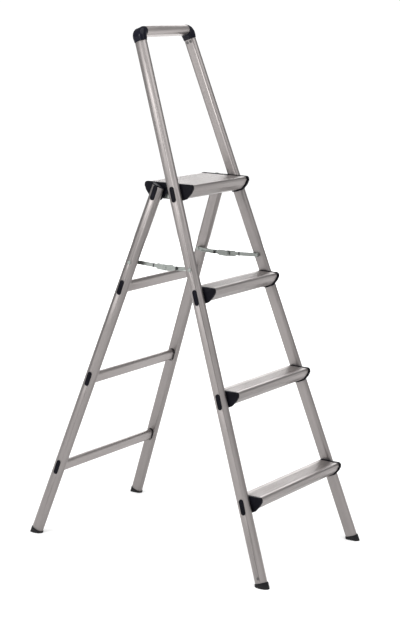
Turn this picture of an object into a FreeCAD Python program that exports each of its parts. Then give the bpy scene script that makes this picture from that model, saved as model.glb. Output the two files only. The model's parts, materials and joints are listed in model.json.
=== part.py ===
import FreeCAD, Part
import math
import os
import re

import Sketcher

# A folding household step ladder: a front frame of two stiles, three treads, a
# platform and a grab handle, a rear frame hinged beside the platform, and a
# folding stay on each side that holds the two frames apart.
#
# Frame: millimetres, +Z up, origin on the floor under the middle of the ladder.
# +X is the climber's right, and the climber stands on the -Y side.

SIZES = [
    # overall
    ("platform_height", 941),     # platform fixing line above the floor
    ("tread_pitch", 250),         # height from one tread to the next
    ("half_width", 142),          # middle plane to a tube's centre, at the platform
    ("taper_angle", 5.1),         # each side plane leans inwards by this
    ("lean_angle", 19.4),         # each tube leans by this within its side plane
    ("pivot_gap", 58.4),          # stile fixing to rear leg pivot, fore and aft
    ("handle_height", 1340),      # centre line of the grab handle
    # tubes
    ("tube_long", 34),
    ("tube_short", 17),           # between the flat inner face and the ends' outer tangents
    ("tube_crown", 2),            # swell of the outer face beyond that
    ("tube_wall", 1.5),
    ("floor_gap", 8.5),           # tube end to the floor, along the tube
    ("leg_top", 18),              # rear leg above its pivot
    ("lid_thick", 3),             # moulded lid on the rear leg
    # grab handle
    ("bar_long", 38),
    ("bar_tall", 25),
    ("elbow_long", 39),
    ("elbow_short", 26),
    ("elbow_bend", 14),
    ("elbow_leg", 12),            # straight part above the stile
    ("elbow_taper", 7),           # draft of that part
    ("elbow_arm", 1),             # straight part towards the bar
    ("spigot_depth", 32),
    ("spigot_gap", 0.6),
    ("rivet_down", 7),            # elbow rivets below the stile's end
    ("rivet_spread", 11),
    # treads
    ("tread_top", 24.8),            # top face above the fixing line
    ("tread_front", 39.5),          # nose in front of the fixing line
    ("tread_rear", 19.5),
    ("tread_belly", 15.5),          # underside below the fixing line
    ("deck_front", 43),           # the platform's noses beyond its fixing lines
    ("nose_tall", 9),             # upright part of the nose
    ("nose_round", 5),
    ("chin_back", 5.5),           # front face behind the nose, where it turns under
    ("chin_up", 5),
    ("throat_back", 17),
    ("throat_down", 7.5),
    ("keel_front", 8),
    ("keel_rise", 1.6),
    ("heel", 6),                  # bevel at the lower rear corner
    ("tread_wall", 2),
    ("web", 14),                  # solid web that takes the fixing screws
    ("groove_pitch", 4.5),
    ("groove_width", 1.4),
    ("groove_depth", 0.6),
    ("plain_edge", 8),            # plain strip between the grooves and an edge
    # end caps
    ("cap_thickness", 8),
    ("cap_bevel", 1.6),
    ("rim_proud", 2.8),           # the caps stand this far beyond the treads all round
    ("hinge_recess", 3),
    ("recess_room", 2),
    ("notch_back", 5),            # foot of the notch between the tubes, from the fixing line
    ("notch_peak", 5),
    ("plate_thickness", 3),
    ("plate_reach", 24),
    ("plate_rise", 16),
    ("plate_drop", 12),
    # plugs and their slots
    ("plug_long", 40),
    ("plug_short", 12.6),
    ("plug_proud", 1.6),
    ("slot_long", 34),
    ("slot_short", 10.4),
    ("slot_room", 0.8),
    ("plug_depth", 4),
    # screws
    ("screw_shank", 6),
    ("screw_head", 10),
    ("screw_head_tall", 4),
    ("screw_room", 0.5),          # around a screw head
    ("screw_bite", 12),           # length in the web beyond the cap
    # hinge
    ("bush_outer", 9),
    ("bush_back", 1),             # bush end short of the cap's inner face
    ("running_gap", 0.05),        # radial, between a pin and what turns on it
    ("washer_outer", 16),
    ("washer_thick", 1.1),
    ("washer_gap", 1),            # washer to the leg, which swings at a slant
    ("insert_depth", 32),
    # rear rails
    ("rail_tall", 32),
    ("rail_thick", 15),
    ("collar_thick", 2.5),
    ("collar_proud", 2.2),
    ("collar_gap", 1.2),
    # feet
    ("boot_wall", 2),
    ("boot_tall", 12),
    ("boot_round", 1.2),
    ("shoe_wall", 1.4),
    ("shoe_tall", 10.5),
    ("foot_rivet_up", 24),
    # stays
    ("stay_rise", 67.5),          # stay pivots above the top tread's fixing line
    ("knuckle_sag", 4.6),         # locked knuckle below the line of the pivots
    ("stay_tall", 10),
    ("stay_wall", 1.5),
    ("stay_flange", 5.5),
    ("stay_gap", 2),              # tube face to the front link
    ("link_gap", 2),            # front link to rear link
    ("link_play", 0.3),           # link to its spacer and to its rivet's head
    ("knuckle_round", 16),
    ("knuckle_plate", 30),
    ("flange_end", 4),            # flanges stop this far before the knuckle plate
    ("stay_rivet", 6),
    ("stay_rivet_head", 11),
    ("stay_rivet_tall", 1.8),
    ("small_rivet", 4),
    ("small_rivet_head", 7.5),
    ("small_rivet_tall", 1.8),
]
NAMES = {name for name, value in SIZES}
V = FreeCAD.Vector
SIDES = (("left", -1), ("right", 1))

doc = FreeCAD.newDocument("step_ladder")
sheet = doc.addObject("Spreadsheet::Sheet", "Sizes")
for row, (name, value) in enumerate(SIZES, start=1):
    sheet.set("A%d" % row, name)
    sheet.set("B%d" % row, str(value))
    sheet.setAlias("B%d" % row, name)
doc.recompute()
NODES = {}


def size(name):
    """The value of one named size."""
    return float(sheet.get(name))


def bound(text):
    """An expression in which each size name points at its cell."""
    return re.sub(r"[a-z_]+", lambda word: "Sizes." + word[0] if word[0] in NAMES else word[0], str(text))


# Trigonometry of the two slopes, for use inside expressions.
COS_LEAN = "cos(lean_angle * 1deg)"
COS_TAPER = "cos(taper_angle * 1deg)"
TAN_TAPER = "tan(taper_angle * 1deg)"
LEAN = math.radians(size("lean_angle"))
TAPER = math.radians(size("taper_angle"))
HALF_GAP = size("pivot_gap") / 2
TREAD_COUNT = 3

# How steps are worked out from sizes.
STAY_DROP = "(tread_pitch - stay_rise)"     # stay pivots below the platform fixing line
PIN_SLOPE = 0.72                            # crown of a pin's head as a share of its width
HEAD_EDGE = 0.45                            # upright edge of a pin's head as a share of its height
DIAGONAL = 0.7                              # share of a rim that a sloping corner moves each way


# ---------------------------------------------------------------- directions

def outward(side):
    """Unit normal of a side plane, pointing away from the ladder."""
    return V(side * math.cos(TAPER), 0, math.sin(TAPER))


def side_point(side, back, up, out=0):
    """A point given in a side plane: back along +Y and up its slope, from the fixing line."""
    point = V(side * size("half_width"), back, size("platform_height"))
    point += V(-side * math.sin(TAPER), 0, math.cos(TAPER)) * up
    return point + outward(side) * out


def tube_point(side, rear, along, out=0):
    """A point on a tube's centre line, measured up from its fixing or pivot."""
    sign = -1 if rear else 1
    back = -sign * HALF_GAP + sign * math.sin(LEAN) * along
    return side_point(side, back, math.cos(LEAN) * along, out)


def tube_direction(side, rear):
    return tube_point(side, rear, 1) - tube_point(side, rear, 0)


def frame(origin, x_direction, z_direction):
    return FreeCAD.Placement(origin, FreeCAD.Rotation(x_direction, V(), z_direction, "ZXY"))


def along_for_drop(drop):
    """Distance down a tube for a drop in height."""
    return drop / math.cos(TAPER) / math.cos(LEAN)


def drop_text(drop):
    return "(%s) / %s / %s" % (drop, COS_TAPER, COS_LEAN)


def fixing_drops(first):
    """Height of each fixing below the platform's, as expressions."""
    return ["tread_pitch * %d" % step for step in range(first, TREAD_COUNT + 1)]


# ---------------------------------------------------------------- modelling helpers

def new_body(name):
    return doc.addObject("PartDesign::Body", name)


def add_sketch(body, role, lift="0"):
    """A sketch on one of the body's own planes, lifted along its normal."""
    sketch = body.newObject("Sketcher::SketchObject", body.Name + "_sketch")
    plane = [item for item in body.Origin.OriginFeatures if item.Role == role][0]
    sketch.AttachmentSupport = [(plane, "")]
    sketch.MapMode = "FlatFace"
    sketch.setExpression("AttachmentOffset.Base.z", bound("(%s) * 1mm" % lift))
    return sketch


def constrain(sketch, kind, first, point, text):
    """Hold a point at a distance from the sketch's origin."""
    index = sketch.addConstraint(Sketcher.Constraint(kind, -1, 1, first, point, 1.0))
    sketch.setExpression("Constraints[%d]" % index, bound(text))


def set_radius(sketch, number, text):
    index = sketch.addConstraint(Sketcher.Constraint("Radius", number, sketch.Geometry[number].Radius))
    sketch.setExpression("Constraints[%d]" % index, bound(text))


def add_circle(sketch, diameter, x="0", y="0"):
    number = sketch.addGeometry(Part.Circle(V(1, 1, 0), V(0, 0, 1), 2), False)
    constrain(sketch, "DistanceX", number, 3, x)
    constrain(sketch, "DistanceY", number, 3, y)
    set_radius(sketch, number, "(%s) / 2" % diameter)


def add_oval(sketch, long_side, short_side, x="0", y="0", upright=True):
    """A flattened round: two half circles joined by straight lines."""
    half, radius = 10, 5
    start = 0 if upright else math.pi / 2
    axis = V(0, 1, 0) if upright else V(-1, 0, 0)
    across = V(1, 0, 0) if upright else V(0, 1, 0)
    ends = (axis * half, axis * -half)
    arcs = [Part.ArcOfCircle(Part.Circle(end, V(0, 0, 1), radius), start + turn, start + turn + math.pi)
            for end, turn in zip(ends, (0, math.pi))]
    lines = [Part.LineSegment(ends[0] - across * radius, ends[1] - across * radius),
             Part.LineSegment(ends[1] + across * radius, ends[0] + across * radius)]
    one, two, down, up = sketch.addGeometry([arcs[0], arcs[1], lines[0], lines[1]], False)
    for joint in ((one, 2, down, 1), (down, 2, two, 1), (two, 2, up, 1), (up, 2, one, 1)):
        sketch.addConstraint(Sketcher.Constraint("Tangent", *joint))
    reach = "((%s) - (%s)) / 2" % (long_side, short_side)
    for arc, sign in ((one, "+"), (two, "-")):
        constrain(sketch, "DistanceX", arc, 3, x if upright else "(%s) %s -1 * %s" % (x, sign, reach))
        constrain(sketch, "DistanceY", arc, 3, "(%s) %s %s" % (y, sign, reach) if upright else y)
        set_radius(sketch, arc, "(%s) / 2" % short_side)


def add_tube_section(sketch, long_side, short_side):
    """Outline of a tube: flat inside, half round at both ends and gently crowned on the +X side."""
    half, radius, crown = 10, 5, 31
    back = math.sqrt((crown - radius) ** 2 - half ** 2)
    meet = math.atan2(half, back)
    normal = V(0, 0, 1)
    curves = [Part.ArcOfCircle(Part.Circle(V(0, half, 0), normal, radius), meet, math.pi),
              Part.LineSegment(V(-radius, half, 0), V(-radius, -half, 0)),
              Part.ArcOfCircle(Part.Circle(V(0, -half, 0), normal, radius), math.pi, 2 * math.pi - meet),
              Part.ArcOfCircle(Part.Circle(V(-back, 0, 0), normal, crown), -meet, meet)]
    top, flat, bottom, swell = sketch.addGeometry(curves, False)
    ring = (top, flat, bottom, swell, top)
    for one, two in zip(ring, ring[1:]):
        sketch.addConstraint(Sketcher.Constraint("Tangent", one, 2, two, 1))
    reach = "((%s) - (%s)) / 2" % (long_side, short_side)
    for arc, sign in ((top, ""), (bottom, "-1 * ")):
        constrain(sketch, "DistanceX", arc, 3, "0")
        constrain(sketch, "DistanceY", arc, 3, sign + reach)
        set_radius(sketch, arc, "(%s) / 2" % short_side)
    set_radius(sketch, swell, "(%s) / 2 + tube_crown / 2 + (%s) ^ 2 / tube_crown / 2" % (short_side, reach))


def add_polygon(sketch, corners):
    """A closed outline through corners given as pairs of expressions."""
    count = len(corners)
    angles = [2 * math.pi * number / count for number in range(count)]
    ring = [V(20 * math.cos(angle), 20 * math.sin(angle), 0) for angle in angles]
    lines = [Part.LineSegment(ring[number], ring[(number + 1) % count]) for number in range(count)]
    first = sketch.addGeometry(lines, False)[0]
    for number in range(count):
        joint = (first + number, 2, first + (number + 1) % count, 1)
        sketch.addConstraint(Sketcher.Constraint("Coincident", *joint))
    for number, (x, y) in enumerate(corners):
        constrain(sketch, "DistanceX", first + number, 1, x)
        constrain(sketch, "DistanceY", first + number, 1, y)


def add_box(sketch, x_low, x_high, y_low, y_high):
    add_polygon(sketch, [(x_low, y_low), (x_high, y_low), (x_high, y_high), (x_low, y_high)])


def add_feature(kind, body, sketch, length, reverse=False, both=False, direction=None):
    feature = body.newObject("PartDesign::" + kind, body.Name + "_" + kind.lower())
    feature.Profile = sketch
    feature.Reversed = reverse
    if both:
        feature.SideType = "Symmetric"
    if length is None:
        feature.Type = "ThroughAll"
    else:
        feature.setExpression("Length", bound("(%s) * 1mm" % length))
    if direction is not None:
        feature.UseCustomVector = True
        feature.Direction = direction
        feature.AlongSketchNormal = True
    return feature


def pad(body, sketch, length, **options):
    return add_feature("Pad", body, sketch, length, **options)


def pocket(body, sketch, length=None, **options):
    """A cut, which must really take material away."""
    doc.recompute()
    before = body.Shape.Volume
    feature = add_feature("Pocket", body, sketch, length, **options)
    doc.recompute()
    if not body.Shape.Volume < before - 0.01:
        raise RuntimeError("a pocket in %s cuts nothing" % body.Name)
    return feature


def round_edges(body, radius, chosen):
    """Fillet the edges that a test picks."""
    doc.recompute()
    tip = body.Tip
    names = ["Edge%d" % number for number, edge in enumerate(tip.Shape.Edges, start=1) if chosen(edge)]
    feature = body.newObject("PartDesign::Fillet", body.Name + "_fillet")
    feature.Base = (tip, names)
    feature.setExpression("Radius", bound("(%s) * 1mm" % radius))
    doc.recompute()


def top_edges(body):
    """Picks the edges round a body's highest face."""
    doc.recompute()
    top = body.Shape.BoundBox.ZMax
    return lambda edge: all(abs(vertex.Point.z - top) < 0.01 for vertex in edge.Vertexes)


def crest_edges(body):
    """Picks the upper edges at a cap's front and rear, across its thickness."""
    doc.recompute()
    box = body.Shape.BoundBox
    def chosen(edge):
        one, two = edge.Vertexes[0].Point, edge.Vertexes[-1].Point
        across = abs(one.x - two.x) > size("cap_thickness") / 2
        at_end = min(abs(one.y - box.YMin), abs(one.y - box.YMax)) < 0.01
        return across and at_end and min(one.z, two.z) > size("tread_top")
    return chosen


def lengthwise_at(y, z):
    """A test for edges along X that pass through a place in the YZ plane."""
    def chosen(edge):
        one, two = edge.Vertexes[0].Point, edge.Vertexes[-1].Point
        level = abs(one.y - two.y) < 0.01 and abs(one.z - two.z) < 0.01
        return level and abs(one.y - y) < 0.05 and abs(one.z - z) < 0.05
    return chosen


def keep(item, name, placement=None):
    """Name a finished sub-part."""
    item.Label = name
    if placement is not None:
        item.Placement = placement
    NODES[name] = item
    return item


def group(name, items):
    """Like fasteners in one node, as separate solids."""
    gathered = doc.addObject("Part::Compound", name + "_group")
    gathered.Links = items
    return keep(gathered, name)


def cut(name, base, tools):
    tool = tools[0]
    if len(tools) > 1:
        tool = doc.addObject("Part::MultiFuse", name + "_tools")
        tool.Shapes = tools
    result = doc.addObject("Part::Cut", name + "_cut")
    result.Base = base
    result.Tool = tool
    return result


def rod(name, diameter, length, placement):
    """A cylinder along its placement's Z axis."""
    cylinder = doc.addObject("Part::Cylinder", name)
    cylinder.setExpression("Radius", bound("(%s) / 2 * 1mm" % diameter))
    cylinder.setExpression("Height", bound("(%s) * 1mm" % length))
    cylinder.Placement = placement
    return cylinder


def turned(name, outline, placement):
    """A piece turned about Z from an outline of radius and height pairs."""
    body = new_body(name)
    sketch = add_sketch(body, "XZ_Plane")
    add_polygon(sketch, outline)
    feature = body.newObject("PartDesign::Revolution", name + "_turn")
    feature.Profile = sketch
    feature.ReferenceAxis = (sketch, ["V_Axis"])
    feature.Angle = 360
    body.Placement = placement
    return body


def headed_pin(name, placement, head, head_tall, shank, length):
    """A head that stands on Z = 0 and a shank below it."""
    outline = [("0", "-(%s)" % length), ("(%s) / 2" % shank, "-(%s)" % length), ("(%s) / 2" % shank, "0"),
               ("(%s) / 2" % head, "0"), ("(%s) / 2" % head, "(%s) * %r" % (head_tall, HEAD_EDGE)),
               ("(%s) / 2 * %r" % (head, PIN_SLOPE), head_tall), ("0", head_tall)]
    return turned(name, outline, placement)


def at_tube(side, rear, along, out):
    """A frame on a tube with Z pointing outwards and X up the tube."""
    return frame(tube_point(side, rear, along, out), tube_direction(side, rear), outward(side))


def tube_frame(side, rear):
    """A frame at a tube's fixing or pivot, with X pointing outwards and Z up the tube."""
    return frame(tube_point(side, rear, 0), outward(side), tube_direction(side, rear))


def hinge_frame(side, x):
    """A frame on the rear frame's hinge axis, with Z pointing away from the middle."""
    return frame(V(side * x, HALF_GAP, size("platform_height")), V(0, 0, 1), V(side, 0, 0))


def inner_half():
    """Tube's centre line to its flat inner face."""
    return size("tube_short") / 2


def outer_half():
    """Tube's centre line to the top of its crowned outer face."""
    return size("tube_short") / 2 + size("tube_crown")


# ---------------------------------------------------------------- tubes

def make_tube(name, side, rear):
    """A flattened tube with its plug slots, screw holes and stay rivet hole.

    Its own X points away from the ladder and its Z up the tube.
    """
    body = new_body(name)
    bottom = drop_text("platform_height") + " - floor_gap"
    top = "leg_top" if rear else stile_top_text()
    sketch = add_sketch(body, "XY_Plane", "-(%s)" % bottom)
    add_tube_section(sketch, "tube_long", "tube_short")
    add_tube_section(sketch, "tube_long - 2 * tube_wall", "tube_short - 2 * tube_wall")
    pad(body, sketch, "%s + %s" % (bottom, top))

    slots = add_sketch(body, "YZ_Plane")
    for drop in fixing_drops(0):
        add_oval(slots, "slot_long", "slot_short", y="-(%s)" % drop_text(drop))
    pocket(body, slots, reverse=True)

    holes = add_sketch(body, "YZ_Plane")
    for drop in fixing_drops(1 if rear else 0):
        add_circle(holes, "screw_shank", y="-(%s)" % drop_text(drop))
    pocket(body, holes)

    pivot = add_sketch(body, "YZ_Plane")
    add_circle(pivot, "stay_rivet", y="-(%s)" % drop_text(STAY_DROP))
    pocket(body, pivot, both=True)

    body.Placement = tube_frame(side, rear)
    return body


# Angles of the ladder's front plane, which holds both stiles and the grab handle.
FRONT_LEAN = math.atan(math.tan(LEAN) / math.cos(TAPER))
FRONT_TAPER = math.asin(math.cos(LEAN) * math.sin(TAPER))
BEND_TEXT = "(90deg - asin(%s * sin(taper_angle * 1deg)))" % COS_LEAN
BEND_REACH_TEXT = "elbow_bend * tan(%s / 2)" % BEND_TEXT


def stile_top_text():
    """Length of a stile above the platform fixing."""
    corner = "(handle_height - platform_height) / %s / %s" % (COS_TAPER, COS_LEAN)
    return "%s - %s - elbow_leg" % (corner, BEND_REACH_TEXT)


def stile_top():
    corner = along_for_drop(size("handle_height") - size("platform_height"))
    bend = math.pi / 2 - FRONT_TAPER
    return corner - size("elbow_bend") * math.tan(bend / 2) - size("elbow_leg")


def make_stiles():
    for word, side in SIDES:
        body = make_tube("stile_" + word, side, False)
        rivet = add_sketch(body, "YZ_Plane")
        for across in ("rivet_spread / 2", "-(rivet_spread / 2)"):
            add_circle(rivet, "small_rivet", across, "(%s) - rivet_down" % stile_top_text())
        pocket(body, rivet)
        foot = add_sketch(body, "YZ_Plane")
        add_circle(foot, "small_rivet", y="foot_rivet_up - " + drop_text("platform_height"))
        pocket(body, foot, reverse=True)
        keep(body, "stile_" + word)


def make_rear_legs():
    """Each leg turns on a bush whose axis lies straight across the ladder."""
    for word, side in SIDES:
        body = make_tube("leg_tube_" + word, side, True)
        place = hinge_frame(side, size("half_width") - size("tube_short"))
        bore = rod("leg_bore_" + word, "bush_outer + 2 * running_gap", "tube_short", place)
        keep(cut("rear_leg_" + word, body, [bore]), "rear_leg_" + word)


# ---------------------------------------------------------------- grab handle

def make_handle():
    """A flattened bar between two moulded elbows, all in the front plane."""
    normal = V(0, math.cos(FRONT_LEAN), -math.sin(FRONT_LEAN))
    rise = V(0, math.sin(FRONT_LEAN), math.cos(FRONT_LEAN))
    bend = math.pi / 2 - FRONT_TAPER
    tangent = size("elbow_bend") * math.tan(bend / 2)
    corner = tube_point(1, False, along_for_drop(size("handle_height") - size("platform_height")))

    body = new_body("handle_bar")
    sketch = add_sketch(body, "XY_Plane")
    add_oval(sketch, "bar_long", "bar_tall")
    add_oval(sketch, "bar_long - 2 * tube_wall", "bar_tall - 2 * tube_wall")
    half_bar = "(half_width - %s * (handle_height - platform_height) - %s - elbow_arm)" % (
        TAN_TAPER, BEND_REACH_TEXT)
    pad(body, sketch, "2 * " + half_bar, both=True)
    keep(body, "handle_bar", frame(V(0, corner.y, corner.z), rise, V(1, 0, 0)))

    rivets = []
    for word, side in SIDES:
        body = new_body("handle_elbow_" + word)
        section = add_sketch(body, "XZ_Plane")
        add_oval(section, "elbow_long", "elbow_short", x="elbow_bend")
        turn = body.newObject("PartDesign::Revolution", "elbow_turn_" + word)
        turn.Profile = section
        turn.ReferenceAxis = (section, ["V_Axis"])
        turn.setExpression("Angle", bound(BEND_TEXT))
        doc.recompute()
        # tapered collar and spigot on the stile's side, where Y falls
        collar = add_sketch(body, "XZ_Plane")
        add_oval(collar, "elbow_long", "elbow_short", x="elbow_bend")
        leg = pad(body, collar, "elbow_leg")
        leg.setExpression("TaperAngle", bound("-elbow_taper * 1deg"))
        spigot = add_sketch(body, "XZ_Plane")
        add_oval(spigot, inside("tube_long"), inside("tube_short"), x="elbow_bend")
        pad(body, spigot, "elbow_leg + spigot_depth")
        # short arm and spigot on the bar's side, at the far end of the bend
        for long_side, short_side, length in (
                ("elbow_long", "elbow_short", "elbow_arm"),
                (inside("bar_long"), inside("bar_tall"), "elbow_arm + spigot_depth")):
            sketch = add_sketch(body, "XZ_Plane")
            sketch.AttachmentOffset = FreeCAD.Placement(V(), FreeCAD.Rotation(V(0, 1, 0), 90))
            sketch.setExpression("AttachmentOffset.Rotation.Angle", bound(BEND_TEXT))
            add_oval(sketch, long_side, short_side, x="elbow_bend")
            pad(body, sketch, length, reverse=True)
        doc.recompute()
        stile = tube_direction(side, False)
        out = V(side, 0, 0) - stile * (stile.x * side)
        out.normalize()
        centre = V(side * corner.x, corner.y, corner.z) - stile * tangent - out * size("elbow_bend")
        keep(body, "handle_elbow_" + word, frame(centre, out, normal * -side))

        across = outward(side).cross(stile)
        for shift in (size("rivet_spread") / 2, -size("rivet_spread") / 2):
            seat = tube_point(side, False, stile_top() - size("rivet_down"), -inner_half()) + across * shift
            name = "elbow_rivet_%s_%d" % (word, len(rivets))
            rivets.append(headed_pin(name, frame(seat, stile, outward(side) * -1), "small_rivet_head",
                                     "small_rivet_tall", "small_rivet", "tube_wall"))
    group("elbow_rivets", rivets)


def inside(outer):
    """A spigot's size, in a tube of the given outer size."""
    return "%s - 2 * tube_wall - spigot_gap" % outer


# ---------------------------------------------------------------- treads and platform

def tread_corners(grow="0", front="tread_front"):
    """Section of a tread about its fixing line, wider by grow on every side."""
    slanted = "%r * %s" % (DIAGONAL, grow)
    return [
        ("tread_rear + " + grow, "tread_top + " + grow),
        ("-%s - %s" % (front, grow), "tread_top + " + grow),
        ("-%s - %s" % (front, grow), "tread_top - nose_tall"),
        ("-%s + chin_back - %s" % (front, grow), "chin_up"),
        ("-%s + throat_back - %s" % (front, slanted), "-throat_down - " + slanted),
        ("-keel_front", "-tread_belly + keel_rise - " + grow),
        ("0", "-tread_belly - " + grow),
        ("tread_rear - heel", "-tread_belly - " + grow),
        ("tread_rear + " + grow, "-tread_belly + heel"),
    ]


def deck_nose(grow="0"):
    """The front half of the platform's section, from its top edge to under its front fixing."""
    return [("%s - pivot_gap / 2" % y, z) for y, z in tread_corners(grow, "deck_front")[1:7]]


def mirrored(corners):
    """The same corners fore and aft reversed, in the order that carries an outline on."""
    return [("-1 * (%s)" % y, z) for y, z in reversed(corners)]


def deck_cap_corners():
    """The platform's end: two noses back to back, notched between the tubes."""
    front = deck_nose("rim_proud")
    foot = ("-(pivot_gap / 2 - notch_back)", "-tread_belly - rim_proud")
    return front + [foot, ("0", "notch_peak")] + mirrored([foot]) + mirrored(front)


def on_slope(corners):
    """An upright section as it lies on a sloping side plane."""
    return [(y, "(%s) / %s" % (z, COS_TAPER)) for y, z in corners]


def nose_cell(front, middle="0"):
    """The hollow between a nose and the web behind it, which stands at a fixing line."""
    ceiling = "tread_top - tread_wall"
    skin = tread_corners("(-1 * tread_wall)", front)[2:5]
    floor = "-tread_belly + keel_rise + tread_wall"
    corners = [("-(web / 2)", ceiling), ("-%s + tread_wall + nose_round * %r" % (front, DIAGONAL), ceiling)]
    corners += skin + [("-(web / 2)", floor)]
    return [("%s - (%s)" % (y, middle), z) for y, z in corners]


def hollow(body, cells):
    """Cells that run the whole length of an extrusion, on either side of its webs."""
    for corners in cells:
        sketch = add_sketch(body, "YZ_Plane")
        add_polygon(sketch, corners)
        pocket(body, sketch, both=True)


def mitre_ends(body, drop):
    """Trim a bar to the caps, parallel to the sloping tubes."""
    reach = "(half_width + %s * (%s) - tube_short / 2 / %s - cap_thickness / %s - plate_thickness * %d)" % (
        TAN_TAPER, drop, COS_TAPER, COS_TAPER, 1 if drop == "0" else 0)
    tall = "(tread_top + tread_belly)"
    low = "(%s + %s * %s)" % (reach, TAN_TAPER, tall)
    high = "(%s - %s * %s)" % (reach, TAN_TAPER, tall)
    far = "(half_width * 4)"      # beyond any bar's blank
    for sign in ("", "-1 * "):
        sketch = add_sketch(body, "XZ_Plane")
        add_polygon(sketch, [(sign + low, "-1 * " + tall), (sign + far, "-1 * " + tall),
                             (sign + far, tall), (sign + high, tall)])
        pocket(body, sketch, both=True)


def rib_top(body, middle, reach):
    """Fine grooves along the top face, for grip, with a plain land down its middle."""
    half_count = "floor((%s) / groove_pitch)" % reach
    first = "(%s - (%s - 0.5) * groove_pitch)" % (middle, half_count)
    sketch = add_sketch(body, "YZ_Plane")
    add_box(sketch, "%s - groove_width / 2" % first, "%s + groove_width / 2" % first,
            "tread_top - groove_depth", "tread_top + groove_depth")
    groove = pocket(body, sketch, both=True)
    pattern = body.newObject("PartDesign::LinearPattern", body.Name + "_grooves")
    pattern.Originals = [groove]
    pattern.Direction = (sketch, ["H_Axis"])
    pattern.setExpression("Length", bound("(2 * %s - 1) * groove_pitch * 1mm" % half_count))
    pattern.setExpression("Occurrences", bound("2 * %s" % half_count))
    body.Tip = pattern
    doc.recompute()


def screw_bores(name, rear, along, plate):
    """Tapped holes at both ends of a bar, in line with the screws through the tubes."""
    depth = inner_half() + size("cap_thickness") + plate + size("screw_bite")
    return [rod("%s_bore_%s" % (name, word), "screw_shank", "tube_short / 2 + cap_thickness + screw_bite",
                at_tube(side, rear, along, -depth)) for word, side in SIDES]


def make_treads():
    """Three hollow treads, the lowest first."""
    for number in range(1, TREAD_COUNT + 1):
        name = "tread_%d" % number
        steps_down = TREAD_COUNT + 1 - number
        body = new_body(name)
        sketch = add_sketch(body, "YZ_Plane")
        add_polygon(sketch, tread_corners())
        pad(body, sketch, "half_width * 6", both=True)
        round_edges(body, "nose_round", lengthwise_at(-size("tread_front"), size("tread_top")))
        rear_cell = [("web / 2", "tread_top - tread_wall"),
                     ("tread_rear - tread_wall", "tread_top - tread_wall"),
                     ("tread_rear - tread_wall", "-tread_belly + heel"),
                     ("tread_rear - heel", "-tread_belly + tread_wall"),
                     ("web / 2", "-tread_belly + tread_wall")]
        hollow(body, [nose_cell("tread_front"), rear_cell])
        mitre_ends(body, "tread_pitch * %d" % steps_down)
        rib_top(body, "(tread_rear - tread_front) / 2", "(tread_rear + tread_front) / 2 - plain_edge")
        along = -along_for_drop(size("tread_pitch") * steps_down)
        level = tube_point(1, False, along)
        body.Placement = FreeCAD.Placement(V(0, level.y, level.z), FreeCAD.Rotation())
        keep(cut(name, body, screw_bores(name, False, along, 0)), name)


def make_platform():
    """The deck, hollow between the webs of its fixings and hinges."""
    name = "platform_deck"
    body = new_body(name)
    sketch = add_sketch(body, "YZ_Plane")
    add_polygon(sketch, deck_nose() + mirrored(deck_nose()))
    pad(body, sketch, "half_width * 6", both=True)
    nose = size("deck_front") + HALF_GAP
    for end in (-nose, nose):
        round_edges(body, "nose_round", lengthwise_at(end, size("tread_top")))
    front_cell = nose_cell("deck_front", "pivot_gap / 2")
    middle_edge = [("-(pivot_gap / 2 - web / 2)", "tread_top - tread_wall"),
                   ("-(pivot_gap / 2 - web / 2)", "-tread_belly + tread_wall")]
    hollow(body, [front_cell, middle_edge + mirrored(middle_edge), mirrored(front_cell)])
    hinge_holes = add_sketch(body, "YZ_Plane")
    add_circle(hinge_holes, "screw_shank", "pivot_gap / 2")
    pocket(body, hinge_holes, both=True)
    mitre_ends(body, "0")
    rib_top(body, "0", "pivot_gap / 2 + deck_front - plain_edge")
    body.Placement = FreeCAD.Placement(V(0, 0, size("platform_height")), FreeCAD.Rotation())
    keep(cut(name, body, screw_bores(name, False, 0, size("plate_thickness"))), name)


# ---------------------------------------------------------------- end caps

def level_direction(side):
    """Straight across the ladder, as seen from a sloping side plane's frame."""
    return V(math.cos(TAPER), 0, -side * math.sin(TAPER))


def make_cap(name, side, outline, screw_y, place):
    """A moulded cap between a bar's end and the tube's inner face.

    Its sketches lie parallel to the sloping side, and it is drawn out level.
    """
    body = new_body(name)
    block = add_sketch(body, "YZ_Plane", "%d * -1 * (tube_short / 2 + cap_thickness)" % side)
    add_polygon(block, on_slope(outline))
    pad(body, block, "cap_thickness", reverse=side < 0, direction=level_direction(side))
    round_edges(body, "nose_round + rim_proud", crest_edges(body))
    tip = body.Tip
    face_x = -side * inner_half()
    outer = ["Face%d" % number for number, face in enumerate(tip.Shape.Faces, start=1)
             if abs(face.CenterOfMass.x - face_x) < 0.01]
    bevel = body.newObject("PartDesign::Chamfer", name + "_bevel")
    bevel.Base = (tip, outer)
    bevel.setExpression("Size", bound("cap_bevel * 1mm"))
    doc.recompute()
    hole = add_sketch(body, "YZ_Plane")
    add_circle(hole, "screw_shank", screw_y)
    pocket(body, hole, both=True)
    body.Placement = place
    return body


def side_frame(side, back, up):
    """A frame in the side plane, with Y to the rear and Z up the slope."""
    up_slope = V(-side * math.sin(TAPER), 0, math.cos(TAPER))
    return frame(side_point(side, back, up), outward(side) * side, up_slope)


def make_tread_caps():
    for number in range(1, TREAD_COUNT + 1):
        along = -along_for_drop(size("tread_pitch") * (TREAD_COUNT + 1 - number))
        for word, side in SIDES:
            place = side_frame(side, -HALF_GAP + math.sin(LEAN) * along, math.cos(LEAN) * along)
            name = "tread_%d_cap_%s" % (number, word)
            keep(make_cap(name, side, tread_corners("rim_proud"), "0", place), name)


def hinge_bore(name, side, diameter):
    """A tool for a hole through the platform's end on the hinge axis."""
    start = hinge_frame(side, size("half_width") - 3 * size("tube_short"))
    return rod(name, diameter, "tube_short * 3", start)


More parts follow.
